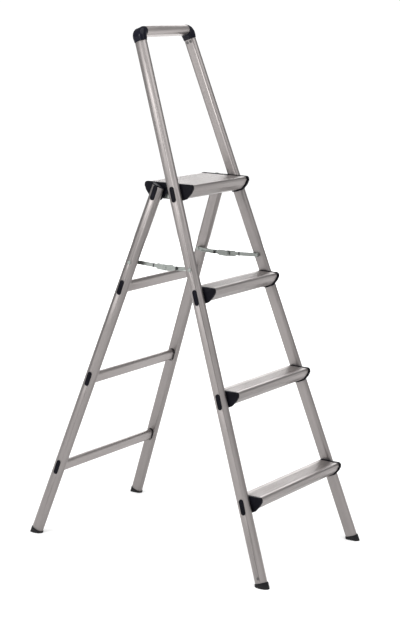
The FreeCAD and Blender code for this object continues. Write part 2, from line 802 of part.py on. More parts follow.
def make_platform_caps():
    """These caps are notched between the tubes, and recessed where the rear leg turns."""
    for word, side in SIDES:
        name = "platform_cap_" + word
        body = make_cap(name, side, deck_cap_corners(), "-(pivot_gap / 2)", side_frame(side, 0, 0))
        recess = add_sketch(body, "YZ_Plane", "%d * -1 * (tube_short / 2 + hinge_recess)" % side)
        add_box(recess, "pivot_gap / 2 - tube_long / 2 - recess_room", "pivot_gap + deck_front * 2",
                "-(tread_belly * 3)", "tread_top * 3")
        pocket(body, recess, reverse=side > 0)
        keep(cut(name, body, [hinge_bore("cap_bore_" + word, side, "bush_outer")]), name)


def make_hinge_plates():
    """A metal plate behind each platform cap, which ties the stile fixing to the rear leg's hinge."""
    for word, side in SIDES:
        name = "hinge_plate_" + word
        body = new_body(name)
        sketch = add_sketch(body, "YZ_Plane", "%d * -1 * (tube_short / 2 + cap_thickness)" % side)
        front = [("-(pivot_gap / 2 + plate_reach)", "plate_rise"), ("-(pivot_gap / 2 + plate_reach)", "0"),
                 ("-(pivot_gap / 2 + web / 2)", "-plate_drop")]
        add_polygon(sketch, front + mirrored(front))
        thickness = "plate_thickness * " + COS_TAPER
        pad(body, sketch, thickness, reverse=side > 0, direction=level_direction(side))
        holes = add_sketch(body, "YZ_Plane")
        add_circle(holes, "screw_shank", "-(pivot_gap / 2)")
        pocket(body, holes, both=True)
        body.Placement = side_frame(side, 0, 0)
        keep(cut(name, body, [hinge_bore("plate_bore_" + word, side, "screw_shank")]), name)


# ---------------------------------------------------------------- fixings

def make_plugs():
    """Oblong plugs that close the screw slots on the outer faces."""
    for kind, rear in (("stile_plugs_", False), ("leg_plugs_", True)):
        for word, side in SIDES:
            plugs = []
            for step in range(TREAD_COUNT + 1):
                body = new_body("%s%s_%d" % (kind, word, step))
                head = add_sketch(body, "XY_Plane")
                add_oval(head, "plug_long", "plug_short", upright=False)
                pad(body, head, "plug_proud")
                round_edges(body, "plug_proud / 2", top_edges(body))
                neck = add_sketch(body, "XY_Plane")
                add_oval(neck, "slot_long", "slot_short", upright=False)
                pad(body, neck, "plug_depth", reverse=True)
                along = -along_for_drop(size("tread_pitch") * step)
                body.Placement = at_tube(side, rear, along, outer_half())
                plugs.append(body)
            group(kind + word, plugs)


def make_screws():
    """Screws inside the tubes, behind the plugs, with their heads on the inner wall."""
    tread, deck = "tube_wall + cap_thickness + screw_bite", " + plate_thickness"
    kinds = (("tread_screws_", False, [tread + deck] + [tread] * TREAD_COUNT),
             ("rail_screws_", True, [None] + ["tube_wall + screw_bite"] * TREAD_COUNT))
    for kind, rear, reaches in kinds:
        for word, side in SIDES:
            screws = []
            for step, reach in enumerate(reaches):
                if reach:
                    along = -along_for_drop(size("tread_pitch") * step)
                    place = at_tube(side, rear, along, size("tube_wall") - inner_half())
                    screws.append(headed_pin("%s%s_%d" % (kind, word, step), place, "screw_head",
                                             "screw_head_tall", "screw_shank", reach))
            group(kind + word, screws)


def inner_face():
    """The tubes' inner face at the height of the hinge axis, from the middle."""
    return size("half_width") - inner_half() / math.cos(TAPER)


def bush_end():
    """Outer end of a hinge bush, which the screw's head bears on."""
    return inner_face() + size("tube_wall") + size("screw_head_tall")


def make_hinges():
    """Each hinge: a bush and washer held to the platform by a screw; the leg turns on the bush."""
    parts = {"hinge_screws": [], "hinge_bushes": [], "hinge_washers": []}
    length = "(tube_wall + screw_head_tall + cap_thickness / %s - bush_back)" % COS_TAPER
    bush_start = inner_face() - size("cap_thickness") / math.cos(TAPER) + size("bush_back")
    for word, side in SIDES:
        bush = new_body("hinge_bush_" + word)
        ring = add_sketch(bush, "XY_Plane")
        add_circle(ring, "bush_outer")
        add_circle(ring, "screw_shank")
        pad(bush, ring, length)
        bush.Placement = hinge_frame(side, bush_start)
        parts["hinge_bushes"].append(bush)

        washer = new_body("hinge_washer_" + word)
        ring = add_sketch(washer, "XY_Plane")
        add_circle(ring, "washer_outer")
        add_circle(ring, "bush_outer")
        pad(washer, ring, "washer_thick")
        washer.Placement = hinge_frame(side, inner_face() - size("washer_gap") - size("washer_thick"))
        parts["hinge_washers"].append(washer)

        reach = length + " + plate_thickness + screw_bite"
        parts["hinge_screws"].append(headed_pin("hinge_screw_" + word, hinge_frame(side, bush_end()),
                                                "screw_head", "screw_head_tall", "screw_shank", reach))
    for name, items in parts.items():
        group(name, items)


def make_leg_inserts():
    """A plug that fills the top of each rear leg, with a lid, and gives the bush a long bearing."""
    for word, side in SIDES:
        name = "leg_insert_" + word
        body = new_body(name)
        sketch = add_sketch(body, "XY_Plane", "leg_top")
        add_tube_section(sketch, "tube_long - 2 * tube_wall", "tube_short - 2 * tube_wall")
        pad(body, sketch, "leg_top + insert_depth", reverse=True)
        lid = add_sketch(body, "XY_Plane", "leg_top")
        add_tube_section(lid, "tube_long", "tube_short")
        pad(body, lid, "lid_thick")
        slot = add_sketch(body, "YZ_Plane")
        add_oval(slot, "slot_long + slot_room", "slot_short + slot_room")
        pocket(body, slot, reverse=True)
        body.Placement = tube_frame(side, True)
        place = hinge_frame(side, size("half_width") - size("tube_short"))
        bore = rod("insert_bore_" + word, "bush_outer + 2 * running_gap", "tube_short", place)
        seat = rod("insert_seat_" + word, "screw_head + 2 * screw_room", "tube_short",
                   hinge_frame(side, bush_end() - size("screw_room")))
        keep(cut(name, body, [bore, seat]), name)


# ---------------------------------------------------------------- rear rails

def make_rails():
    """Flattened rails between the rear legs, trimmed to the legs' inner faces."""
    between = new_body("between_legs")
    sketch = add_sketch(between, "XZ_Plane")
    half = "(half_width - tube_short / 2 / %s %s %s * platform_height)"
    low, high = half % (COS_TAPER, "+", TAN_TAPER), half % (COS_TAPER, "-", TAN_TAPER)
    add_polygon(sketch, [("-1 * " + low, "0"), (low, "0"),
                         (high, "platform_height * 2"), ("-1 * " + high, "platform_height * 2")])
    pad(between, sketch, "platform_height * 3", both=True)

    collars = {word: [] for word, side in SIDES}
    lean = V(0, -math.sin(FRONT_LEAN), math.cos(FRONT_LEAN))
    for number in range(1, TREAD_COUNT + 1):
        along = -along_for_drop(size("tread_pitch") * (TREAD_COUNT + 1 - number))
        centre = tube_point(1, True, along)
        body = new_body("rail_blank_%d" % number)
        sketch = add_sketch(body, "XY_Plane")
        add_oval(sketch, "rail_tall", "rail_thick", upright=False)
        pad(body, sketch, "half_width * 6", both=True)
        body.Placement = frame(V(0, centre.y, centre.z), lean, V(1, 0, 0))
        rail = doc.addObject("Part::Common", "rear_rail_%d_trim" % number)
        rail.Base = body
        rail.Tool = between
        bores = []
        for word, side in SIDES:
            bores.append(rod("rail_bore_%d_%s" % (number, word), "screw_shank", "tube_short + screw_bite",
                             at_tube(side, True, along, -inner_half() - size("screw_bite"))))
            collar = new_body("rail_collar_%d_%s" % (number, word))
            sketch = add_sketch(collar, "XY_Plane")
            for spare in ("collar_proud", "collar_gap"):
                add_oval(sketch, "rail_tall + 2 * " + spare, "rail_thick + 2 * " + spare, upright=False)
            pad(collar, sketch, "collar_thick", reverse=True)
            collar.Placement = at_tube(side, True, along, -inner_half())
            collars[word].append(collar)
        keep(cut("rear_rail_%d" % number, rail, bores), "rear_rail_%d" % number)
    for word, items in collars.items():
        group("rail_collars_" + word, items)


# ---------------------------------------------------------------- feet

def make_feet():
    """Boots and shoes that take the tube's end in a socket and stand flat on the floor."""
    floor = doc.addObject("Part::Box", "floor_block")
    for edge in ("Length", "Width"):
        floor.setExpression(edge, bound("platform_height * 2 * 1mm"))
    floor.setExpression("Height", bound("platform_height / 4 * 1mm"))
    reach = size("platform_height")
    floor.Placement.Base = V(-reach, -reach, -reach / 4)
    bottom = drop_text("platform_height")
    rivets = []
    for kind, rear, wall, tall in (("front_foot_", False, "boot_wall", "boot_tall"),
                                   ("rear_foot_", True, "shoe_wall", "shoe_tall")):
        for word, side in SIDES:
            name = kind + word
            body = new_body(name + "_blank")
            sole = add_sketch(body, "XY_Plane", "-(%s) - tube_long / 2" % bottom)
            add_tube_section(sole, "tube_long + 2 * " + wall, "tube_short + 2 * " + wall)
            pad(body, sole, "%s + tube_long / 2" % tall)
            if not rear:
                round_edges(body, "boot_round", top_edges(body))
            socket = add_sketch(body, "XY_Plane", "-(%s) + floor_gap" % bottom)
            add_tube_section(socket, "tube_long", "tube_short")
            pocket(body, socket, reverse=True)
            spigot = add_sketch(body, "XY_Plane", "-(%s) + floor_gap" % bottom)
            add_oval(spigot, inside("tube_long"), inside("tube_short"))
            pad(body, spigot, "%s + spigot_depth - floor_gap" % tall)
            body.Placement = tube_frame(side, rear)
            keep(cut(name, body, [floor]), name)
            if not rear:
                along = size("foot_rivet_up") - along_for_drop(size("platform_height"))
                seat = at_tube(side, rear, along, outer_half())
                rivets.append(headed_pin("foot_rivet_" + word, seat, "small_rivet_head",
                                         "small_rivet_tall", "small_rivet", "tube_wall"))
    group("foot_rivets", rivets)


# ---------------------------------------------------------------- folding stays

def stay_depth(rear):
    """Depth of a link's web below the tube's inner face, as an expression."""
    front = "(stay_gap + stay_flange - stay_wall)"
    return "(%s + stay_wall + link_gap)" % front if rear else front


def stay_offset(rear):
    depth = size("stay_gap") + size("stay_flange") - size("stay_wall")
    return depth + size("stay_wall") + size("link_gap") if rear else depth


def stay_geometry(side, rear):
    """Pivot and knuckle of a link, on the tube's inner face, with the ladder open."""
    drop = size("tread_pitch") - size("stay_rise")
    pivot = tube_point(side, rear, -along_for_drop(drop), -inner_half())
    knuckle = side_point(side, 0, -(drop + size("knuckle_sag")) / math.cos(TAPER), -inner_half())
    return pivot, knuckle


def pivot_outline(reach):
    """Half section of a rivet with a head at each end, drawn about its axis."""
    shoulder = "stay_rivet_tall * %r" % HEAD_EDGE
    crown = "stay_rivet_head / 2 * %r" % PIN_SLOPE
    return [("0", "-(%s) - stay_rivet_tall" % reach), (crown, "-(%s) - stay_rivet_tall" % reach),
            ("stay_rivet_head / 2", "-(%s) - %s" % (reach, shoulder)),
            ("stay_rivet_head / 2", "-(%s)" % reach), ("stay_rivet / 2", "-(%s)" % reach),
            ("stay_rivet / 2", "0"), ("stay_rivet_head / 2", "0"), ("stay_rivet_head / 2", shoulder),
            (crown, "stay_rivet_tall"), ("0", "stay_rivet_tall")]


def make_link(name, rear, span, place):
    """A channel with round ends and, at the knuckle, a wide flat plate."""
    body = new_body(name)
    web = add_sketch(body, "XY_Plane")
    add_oval(web, "%s + stay_tall" % span, "stay_tall", x="%s / 2" % span, upright=False)
    pad(body, web, "stay_wall")
    plate = add_sketch(body, "XY_Plane")
    add_oval(plate, "knuckle_plate + knuckle_round / 2", "knuckle_round",
             x="%s - knuckle_plate / 2 + knuckle_round / 4" % span, upright=False)
    pad(body, plate, "stay_wall")
    for edge in ("", "-1 * "):
        flange = add_sketch(body, "XY_Plane", "stay_wall" if rear else "0")
        add_box(flange, "stay_rivet_head", "%s - knuckle_plate - flange_end" % span,
                edge + "(stay_tall / 2 - stay_wall)", edge + "(stay_tall / 2)")
        pad(body, flange, "stay_flange - stay_wall", reverse=not rear)
    holes = add_sketch(body, "XY_Plane")
    add_circle(holes, "stay_rivet + 2 * running_gap")
    add_circle(holes, "stay_rivet", x=span)
    pocket(body, holes, both=True)
    keep(body, name, place)


def make_stays():
    """Two links on each side, which lock just past straight and fold upwards."""
    half_span = "(pivot_gap / 2 + tan(lean_angle * 1deg) * %s / %s)" % (STAY_DROP, COS_TAPER)
    span = "sqrt(%s ^ 2 + (knuckle_sag / %s) ^ 2)" % (half_span, COS_TAPER)
    level = V(0, 1, 0)
    for kind, rear in (("front", False), ("rear", True)):
        rivets = []
        spacers = []
        depth = stay_depth(rear)
        outline = pivot_outline("tube_short + tube_crown + %s + stay_wall + link_play" % depth)
        for word, side in SIDES:
            pivot, knuckle = stay_geometry(side, rear)
            inward = outward(side) * -1
            name = "stay_%s_%s" % (kind, word)
            make_link(name, rear, span, frame(pivot + inward * stay_offset(rear), knuckle - pivot, inward))

            # half of the knuckle rivet, fast in each link
            face = size("stay_wall") if rear else 0
            seat = knuckle + inward * (stay_offset(rear) + face)
            pin = headed_pin("knuckle_" + name, frame(seat, level, inward if rear else outward(side)),
                             "stay_rivet_head", "stay_rivet_tall", "stay_rivet", "stay_wall")
            keep(pin, "knuckle_rivet_%s_%s" % (kind, word))

            # pivot rivet through the tube, a spacer and the link, headed at both ends
            outer = pivot + outward(side) * (inner_half() + outer_half())
            rivets.append(turned("pivot_" + name, outline, frame(outer, level, outward(side))))
            spacer = new_body("spacer_" + name)
            ring = add_sketch(spacer, "XY_Plane")
            add_circle(ring, "stay_rivet_head")
            add_circle(ring, "stay_rivet")
            pad(spacer, ring, "%s - link_play" % depth)
            spacer.Placement = frame(pivot, level, inward)
            spacers.append(spacer)
        group("stay_pivots_" + kind, rivets)
        group("stay_spacers_" + kind, spacers)


# ---------------------------------------------------------------- build, check, write

def build():
    make_stiles()
    make_rear_legs()
    make_handle()
    make_treads()
    make_platform()
    make_tread_caps()
    make_platform_caps()
    make_hinge_plates()
    make_plugs()
    make_screws()
    make_hinges()
    make_leg_inserts()
    make_rails()
    make_feet()
    make_stays()
    doc.recompute()


def check_and_write():
    failed = [item.Name for item in doc.Objects if {"Invalid", "Error"} & set(item.State)]
    if failed:
        raise RuntimeError("failed objects: " + ", ".join(failed))
    for name, item in NODES.items():
        if item.Shape.isNull() or not item.Shape.isValid():
            raise RuntimeError("bad shape: " + name)
    os.makedirs("parts", exist_ok=True)
    for name, item in NODES.items():
        item.Shape.exportStep("parts/%s.step" % name)
    print("wrote", len(NODES), "nodes")


build()
check_and_write()
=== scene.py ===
"""Finishes a folding step ladder around its engineering model, as a Blender add-on."""
import json
import math

import bpy
from bpy.props import FloatProperty, FloatVectorProperty, IntProperty, PointerProperty
from mathutils import Euler, Matrix, Vector


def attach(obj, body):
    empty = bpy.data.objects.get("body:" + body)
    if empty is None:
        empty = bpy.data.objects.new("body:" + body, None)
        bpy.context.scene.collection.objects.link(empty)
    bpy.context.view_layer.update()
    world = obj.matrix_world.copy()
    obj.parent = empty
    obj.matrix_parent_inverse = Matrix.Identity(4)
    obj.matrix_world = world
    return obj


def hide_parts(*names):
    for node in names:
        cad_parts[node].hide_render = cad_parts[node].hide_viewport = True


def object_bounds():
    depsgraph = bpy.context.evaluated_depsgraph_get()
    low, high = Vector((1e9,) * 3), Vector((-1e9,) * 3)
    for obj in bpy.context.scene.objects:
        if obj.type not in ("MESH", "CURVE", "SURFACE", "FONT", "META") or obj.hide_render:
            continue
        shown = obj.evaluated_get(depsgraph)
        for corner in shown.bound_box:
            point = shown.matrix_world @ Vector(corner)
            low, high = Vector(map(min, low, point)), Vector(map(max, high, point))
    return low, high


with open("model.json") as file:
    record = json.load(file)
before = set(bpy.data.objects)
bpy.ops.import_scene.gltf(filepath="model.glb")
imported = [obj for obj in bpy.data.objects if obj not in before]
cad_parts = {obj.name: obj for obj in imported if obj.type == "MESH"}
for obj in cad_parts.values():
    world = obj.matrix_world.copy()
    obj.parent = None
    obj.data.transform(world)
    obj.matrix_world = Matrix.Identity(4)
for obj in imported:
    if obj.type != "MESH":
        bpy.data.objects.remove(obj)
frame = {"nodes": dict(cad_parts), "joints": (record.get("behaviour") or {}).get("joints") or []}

bl_info = {
    "name": "Step Ladder Finish",
    "version": (1, 0, 0),
    "blender": (4, 5, 0),
    "location": "View3D > Sidebar > Ladder",
    "description": "Materials, moulded pieces and a studio for a folding step ladder",
    "category": "Object",
}

NODES = frame["nodes"]
JOINTS = {joint["name"]: joint for joint in frame["joints"]}
SIDES = {"left": -1, "right": 1}
UP = Vector((0, 0, 1))
ACROSS = Vector((1, 0, 0))
EVEN = (1, 1, 1)         # a pattern that is not stretched
TOUCHING = 1e-6          # metres apart that still counts as the same place
CREASE = 35              # degrees; sharper edges of a modelled piece stay crisp
ROUNDED = 32             # degrees; sharper edges of a CAD node are rounded
FINE = 0.6               # share of the edge rounding that ribs and small mouldings get
PLASTIC_IOR = 1.25
PLASTIC_SHEEN = 0.14
# painted light and shade: how much lighter or darker each part's copy of the anodised aluminium is made,
# standing in for how brightly that part is lit
PAINTED_LIGHT_TONES = {"stile": 0.93, "rear_leg": 0.82, "bar": 1.4, "rail": 1.08, "tread": 0.95}
FLOOR_SPAN = 400
OVERHEAD_TURN = (math.radians(12), math.radians(-14), 0)
OVERHEAD_SPREAD = math.radians(70)
CAD_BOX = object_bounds()


# ---------------------------------------------------------------- where things are

def tube_axis(node):
    """Bottom and top centres of a tube, from the corners of its mesh."""
    points = [vertex.co for vertex in NODES[node].data.vertices]
    points.sort(key=lambda point: point.z)
    count = max(8, len(points) // 40)
    low = sum(points[:count], Vector()) / count
    high = sum(points[-count:], Vector()) / count
    return low, high


def outward(side):
    """Unit normal of a sloping side plane, pointing away from the ladder."""
    normal = Vector(JOINTS["stay_front_right_swing"]["axis"]).normalized()
    return Vector((side * abs(normal.x), 0, abs(normal.z)))


def islands(node):
    """The separate pieces of a CAD node, each as a list of its points."""
    mesh = NODES[node].data
    keys = [tuple(round(value, 5) for value in vertex.co) for vertex in mesh.vertices]
    parent = {key: key for key in keys}

    def root(key):
        while parent[key] != key:
            parent[key] = parent[parent[key]]
            key = parent[key]
        return key

    for edge in mesh.edges:
        parent[root(keys[edge.vertices[0]])] = root(keys[edge.vertices[1]])
    found = {}
    for key in parent:
        found.setdefault(root(key), []).append(Vector(key))
    return [found[key] for key in sorted(found)]


def seat(points, along, out):
    """A frame on the face of a piece furthest out: X along, Z out, at the piece's middle."""
    across = out.cross(along).normalized()
    along = across.cross(out)
    place = Vector()
    for axis in (along, across):
        reach = [point.dot(axis) for point in points]
        place += axis * (min(reach) + max(reach)) / 2
    place += out * max(point.dot(out) for point in points)
    return Matrix.Translation(place) @ facing(along, across, out)


def facing(along, across, out):
    """A rotation that lays X, Y and Z along three directions."""
    return Matrix((along, across, out)).transposed().to_4x4()


# ---------------------------------------------------------------- modelling

def begin(name, radius, depth, sides):
    """A disc whose top lies at Z = 0, ready to shape in edit mode."""
    bpy.ops.object.select_all(action="DESELECT")
    bpy.ops.mesh.primitive_cylinder_add(vertices=sides, radius=radius, depth=depth,
                                        location=(0, 0, -depth / 2))
    piece = bpy.context.active_object
    piece.name = name
    bpy.ops.object.transform_apply(location=True, rotation=True, scale=True)
    return piece


def choose(piece, kind, test):
    """Select only the vertices, edges or faces of a piece that pass a test, in edit mode."""
    bpy.ops.object.mode_set(mode="EDIT")
    bpy.ops.mesh.select_mode(type=kind)
    bpy.ops.mesh.select_all(action="DESELECT")
    bpy.ops.object.mode_set(mode="OBJECT")
    mesh = piece.data
    for item in {"VERT": mesh.vertices, "EDGE": mesh.edges, "FACE": mesh.polygons}[kind]:
        item.select = test(item)
    bpy.ops.object.mode_set(mode="EDIT")


def top_ring(piece):
    """A test for the edges round the top face."""
    points = piece.data.vertices
    return lambda edge: all(abs(points[index].co.z) < TOUCHING for index in edge.vertices)


def dished_plug(name, length, width, depth, rim, sunk):
    """An oblong plug with a rolled rim round a shallow dished face."""
    piece = begin(name, width / 2, depth, 48)
    for way in (1, -1):
        choose(piece, "VERT", lambda vertex: vertex.co.x * way > TOUCHING)
        bpy.ops.transform.translate(value=(way * (length - width) / 2, 0, 0))
        bpy.ops.object.mode_set(mode="OBJECT")
    choose(piece, "EDGE", top_ring(piece))
    bpy.ops.mesh.bevel(offset=rim * 0.6, segments=4, affect="EDGES")
    bpy.ops.object.mode_set(mode="OBJECT")
    widest = max(piece.data.polygons, key=lambda face: face.area * (face.normal.z > 0.99)).index
    choose(piece, "FACE", lambda face: face.index == widest)
    bpy.ops.mesh.inset(thickness=rim * 0.5, depth=0)
    bpy.ops.mesh.inset(thickness=rim * 0.5, depth=-sunk)
    bpy.ops.mesh.inset(thickness=rim * 2.2, depth=sunk * 0.5)
    bpy.ops.object.mode_set(mode="OBJECT")
    return finished(piece)


def domed_rivet(name, width, height, depth):
    """A low domed rivet head with a mandrel dimple, on its shank."""
    piece = begin(name, width / 2, depth, 40)
    choose(piece, "EDGE", top_ring(piece))
    bpy.ops.mesh.bevel(offset=height * 0.85, segments=6, affect="EDGES")
    bpy.ops.object.mode_set(mode="OBJECT")
    widest = max(piece.data.polygons, key=lambda face: face.area * (face.normal.z > 0.99)).index
    choose(piece, "FACE", lambda face: face.index == widest)
    bpy.ops.mesh.inset(thickness=width * 0.12, depth=0)
    bpy.ops.mesh.inset(thickness=width * 0.04, depth=-height * 0.35)
    bpy.ops.object.mode_set(mode="OBJECT")
    return finished(piece)


def finished(piece):
    """Faces turned outward and smooth, with crisp edges kept."""
    bpy.ops.object.mode_set(mode="EDIT")
    bpy.ops.mesh.select_all(action="SELECT")
    bpy.ops.mesh.normals_make_consistent(inside=False)
    bpy.ops.object.mode_set(mode="OBJECT")
    bpy.ops.object.shade_smooth_by_angle(angle=math.radians(CREASE))
    return piece


def set_out(pattern, name, places, material, body, node):
    """Copies of a pattern at each place, joined into one piece that stands for a CAD node."""
    copies = []
    for place in places:
        copy = pattern.copy()
        copy.data = pattern.data.copy()
        bpy.context.collection.objects.link(copy)
        copy.matrix_world = place
        copies.append(copy)
    bpy.ops.object.select_all(action="DESELECT")
    for copy in copies:
        copy.select_set(True)
    bpy.context.view_layer.objects.active = copies[0]
    bpy.ops.object.transform_apply(location=True, rotation=True, scale=True)
    if len(copies) > 1:
        bpy.ops.object.join()
    piece = bpy.context.active_object
    piece.name = name
    dress(piece, material)
    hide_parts(node)
    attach(piece, body)


def discard(pattern):
    """Delete a pattern once its copies are set out."""
    bpy.ops.object.select_all(action="DESELECT")
    pattern.select_set(True)
    bpy.context.view_layer.objects.active = pattern
    bpy.ops.object.delete()


# ---------------------------------------------------------------- materials

def new_material(name):
    """A fresh node material, its nodes and links, and its main shader."""
    material = bpy.data.materials.new(name)
    material.use_nodes = True
    tree = material.node_tree
    return material, tree.nodes, tree.links, tree.nodes["Principled BSDF"]


def mapped(nodes, links, scale, turn=(0, 0, 0)):
    """Object coordinates, turned so that the grain runs along Z, then stretched."""
    place = nodes.new("ShaderNodeTexCoord")
    turned = nodes.new("ShaderNodeMapping")
    turned.inputs["Rotation"].default_value = turn
    stretched = nodes.new("ShaderNodeMapping")
    stretched.inputs["Scale"].default_value = scale
    links.new(place.outputs["Object"], turned.inputs["Vector"])
    links.new(turned.outputs["Vector"], stretched.inputs["Vector"])
    return stretched.outputs["Vector"]


def noise(nodes, links, vector, scale, detail=4.0, roughness=0.55):
    """A noise pattern's value."""
    node = nodes.new("ShaderNodeTexNoise")
    node.inputs["Scale"].default_value = scale
    node.inputs["Detail"].default_value = detail
    node.inputs["Roughness"].default_value = roughness
    links.new(vector, node.inputs["Vector"])
    return node.outputs["Fac"]


def ranged(nodes, links, value, low, high, start=0.3, stop=0.7):
    """Spread a pattern between two levels."""
    node = nodes.new("ShaderNodeMapRange")
    node.inputs["From Min"].default_value = start
    node.inputs["From Max"].default_value = stop
    node.inputs["To Min"].default_value = low
    node.inputs["To Max"].default_value = high
    links.new(value, node.inputs["Value"])
    return node.outputs["Result"]


def mixed(nodes, links, factor, first, second):
    """Blend two colours, each a colour or a socket, by a factor socket."""
    node = nodes.new("ShaderNodeMix")
    node.data_type = "RGBA"
    links.new(factor, node.inputs["Factor"])
    for socket, value in ((node.inputs[6], first), (node.inputs[7], second)):
        if isinstance(value, bpy.types.NodeSocket):
            links.new(value, socket)
        else:
            socket.default_value = (*value, 1.0)
    return node.outputs[2]


def shade(colour, factor):
    """A colour made darker or lighter."""
    return tuple(min(1.0, channel * factor) for channel in colour)


def combined(nodes, links, first, second, operation="ADD"):
    """Two values joined by a sum or another operation."""
    node = nodes.new("ShaderNodeMath")
    node.operation = operation
    links.new(first, node.inputs[0])
    links.new(second, node.inputs[1])
    return node.outputs["Value"]


def bumped(nodes, links, shader, height, strength, distance):
    """Fine relief from a pattern."""
    node = nodes.new("ShaderNodeBump")
    node.inputs["Strength"].default_value = strength
    node.inputs["Distance"].default_value = distance
    links.new(height, node.inputs["Height"])
    links.new(node.outputs["Normal"], shader.inputs["Normal"])


def grain_turn(direction):
    """Rotation that lays a direction along Z, for a pattern's coordinates."""
    return direction.normalized().rotation_difference(UP).to_euler()


def aluminium(name, direction, colour, tone):
    """Satin anodised extrusion: long die lines, cloudy anodising and light handling marks; its tone is
    painted light and shade.
    """
    material, nodes, links, shader = new_material(name)
    turn = grain_turn(direction)
    lines = noise(nodes, links, mapped(nodes, links, (900, 900, 6), turn), 1.0, 3.0)
    broad = noise(nodes, links, mapped(nodes, links, (160, 160, 2.5), turn), 1.0, 2.0)
    cloud = noise(nodes, links, mapped(nodes, links, EVEN), 14.0, 5.0)
    marks = noise(nodes, links, mapped(nodes, links, (60, 60, 340), turn), 1.0, 6.0, 0.7)
    # painted light and shade: the tone lightens or darkens this copy of the metal to stand in for how
    # brightly the part is lit
    base = shade(colour, tone)
    tinted = mixed(nodes, links, ranged(nodes, links, cloud, 0.0, 1.0), shade(base, 0.93), shade(base, 1.05))
    streaked = mixed(nodes, links, ranged(nodes, links, broad, 0.0, 0.55), tinted, shade(base, 0.9))
    scuffed = mixed(nodes, links, ranged(nodes, links, marks, 0.0, 0.35, 0.62, 0.74),
                    streaked, shade(base, 0.8))
    links.new(scuffed, shader.inputs["Base Color"])
    shader.inputs["Metallic"].default_value = 1.0
    rough = combined(nodes, links, ranged(nodes, links, lines, 0.36, 0.5),
                     ranged(nodes, links, cloud, -0.03, 0.05))
    links.new(rough, shader.inputs["Roughness"])
    bumped(nodes, links, shader, lines, 0.12, 0.0002)
    return material


def moulded_black(name, colour, rough_low, rough_high, grain, gloss=0.0):
    """Injection-moulded plastic with a spark-eroded grain and faint rub marks."""
    material, nodes, links, shader = new_material(name)
    fine = noise(nodes, links, mapped(nodes, links, EVEN), 2400.0, 3.0, 0.6)
    patch = noise(nodes, links, mapped(nodes, links, EVEN), 38.0, 6.0, 0.6)
    rub = noise(nodes, links, mapped(nodes, links, (420, 90, 420)), 1.0, 5.0, 0.7)
    worn = mixed(nodes, links, ranged(nodes, links, patch, 0.0, 1.0, 0.35, 0.75), colour, shade(colour, 1.9))
    marked = mixed(nodes, links, ranged(nodes, links, rub, 0.0, 0.5, 0.6, 0.78), worn, shade(colour, 4.5))
    links.new(marked, shader.inputs["Base Color"])
    rough = combined(nodes, links, ranged(nodes, links, patch, rough_low, rough_high),
                     ranged(nodes, links, rub, 0.0, 0.08, 0.55, 0.75))
    links.new(rough, shader.inputs["Roughness"])
    shader.inputs["IOR"].default_value = PLASTIC_IOR
    shader.inputs["Specular IOR Level"].default_value = PLASTIC_SHEEN
    shader.inputs["Coat Weight"].default_value = gloss
    shader.inputs["Coat Roughness"].default_value = 0.12
    bumped(nodes, links, shader, fine, grain, 0.0002)
    return material


def foot_rubber(name, colour):
    """Dense rubber, dusty near the floor."""
    material, nodes, links, shader = new_material(name)
    place = nodes.new("ShaderNodeTexCoord")
    height = nodes.new("ShaderNodeSeparateXYZ")
    links.new(place.outputs["Object"], height.inputs["Vector"])
    speck = noise(nodes, links, mapped(nodes, links, EVEN), 900.0, 4.0, 0.65)
    patch = noise(nodes, links, mapped(nodes, links, EVEN), 60.0, 5.0, 0.6)
    low = ranged(nodes, links, height.outputs["Z"], 0.5, 0.0, 0.0, 0.012)
    dust = combined(nodes, links, low, ranged(nodes, links, patch, 0.2, 1.0), "MULTIPLY")
    speckled = mixed(nodes, links, ranged(nodes, links, speck, 0.0, 1.0),
                     shade(colour, 0.8), shade(colour, 1.5))
    links.new(mixed(nodes, links, dust, speckled, (0.03, 0.029, 0.028)), shader.inputs["Base Color"])
    links.new(ranged(nodes, links, patch, 0.6, 0.8), shader.inputs["Roughness"])
    shader.inputs["Specular IOR Level"].default_value = 0.2
    bumped(nodes, links, shader, speck, 0.25, 0.0003)
    return material


def zinc_plate(name, colour):
    """Pressed steel with dull zinc plating and small spangles."""
    material, nodes, links, shader = new_material(name)
    spangle = nodes.new("ShaderNodeTexVoronoi")
    spangle.inputs["Scale"].default_value = 420.0
    links.new(mapped(nodes, links, EVEN), spangle.inputs["Vector"])
    cloud = noise(nodes, links, mapped(nodes, links, EVEN), 70.0, 6.0, 0.6)
    stain = noise(nodes, links, mapped(nodes, links, EVEN), 22.0, 4.0, 0.6)
    flecked = mixed(nodes, links, ranged(nodes, links, spangle.outputs["Distance"], 0.0, 1.0, 0.0, 0.8),
                    shade(colour, 1.06), shade(colour, 0.9))
    stained = mixed(nodes, links, ranged(nodes, links, stain, 0.0, 0.5, 0.45, 0.75),
                    flecked, shade(colour, 0.72))
    links.new(stained, shader.inputs["Base Color"])
    shader.inputs["Metallic"].default_value = 1.0
    links.new(ranged(nodes, links, cloud, 0.32, 0.52), shader.inputs["Roughness"])
    bumped(nodes, links, shader, cloud, 0.15, 0.0003)
    return material


def studio_floor(name, colour):
    """A matt white floor, very slightly uneven in tone."""
    material, nodes, links, shader = new_material(name)
    cloud = noise(nodes, links, mapped(nodes, links, EVEN), 1.6, 4.0)
    links.new(mixed(nodes, links, cloud, shade(colour, 0.99), colour), shader.inputs["Base Color"])
    shader.inputs["Roughness"].default_value = 0.9
    return material


def dress(piece, material):
    """Give a piece one material throughout."""
    slots = piece.data.materials
    if not slots:
        slots.append(material)
    for index in range(len(slots)):
        slots[index] = material


def soften(piece, width, segments):
    """Live edge rounding on a CAD node."""
    weld = piece.modifiers.new("weld", "WELD")
    weld.merge_threshold = 0.00001
    bevel = piece.modifiers.new("edges", "BEVEL")
    bevel.width = width
    bevel.segments = segments
    bevel.limit_method = "ANGLE"
    bevel.angle_limit = math.radians(ROUNDED)
    bevel.use_clamp_overlap = True
    bevel.harden_normals = False


# ---------------------------------------------------------------- sizes and colours

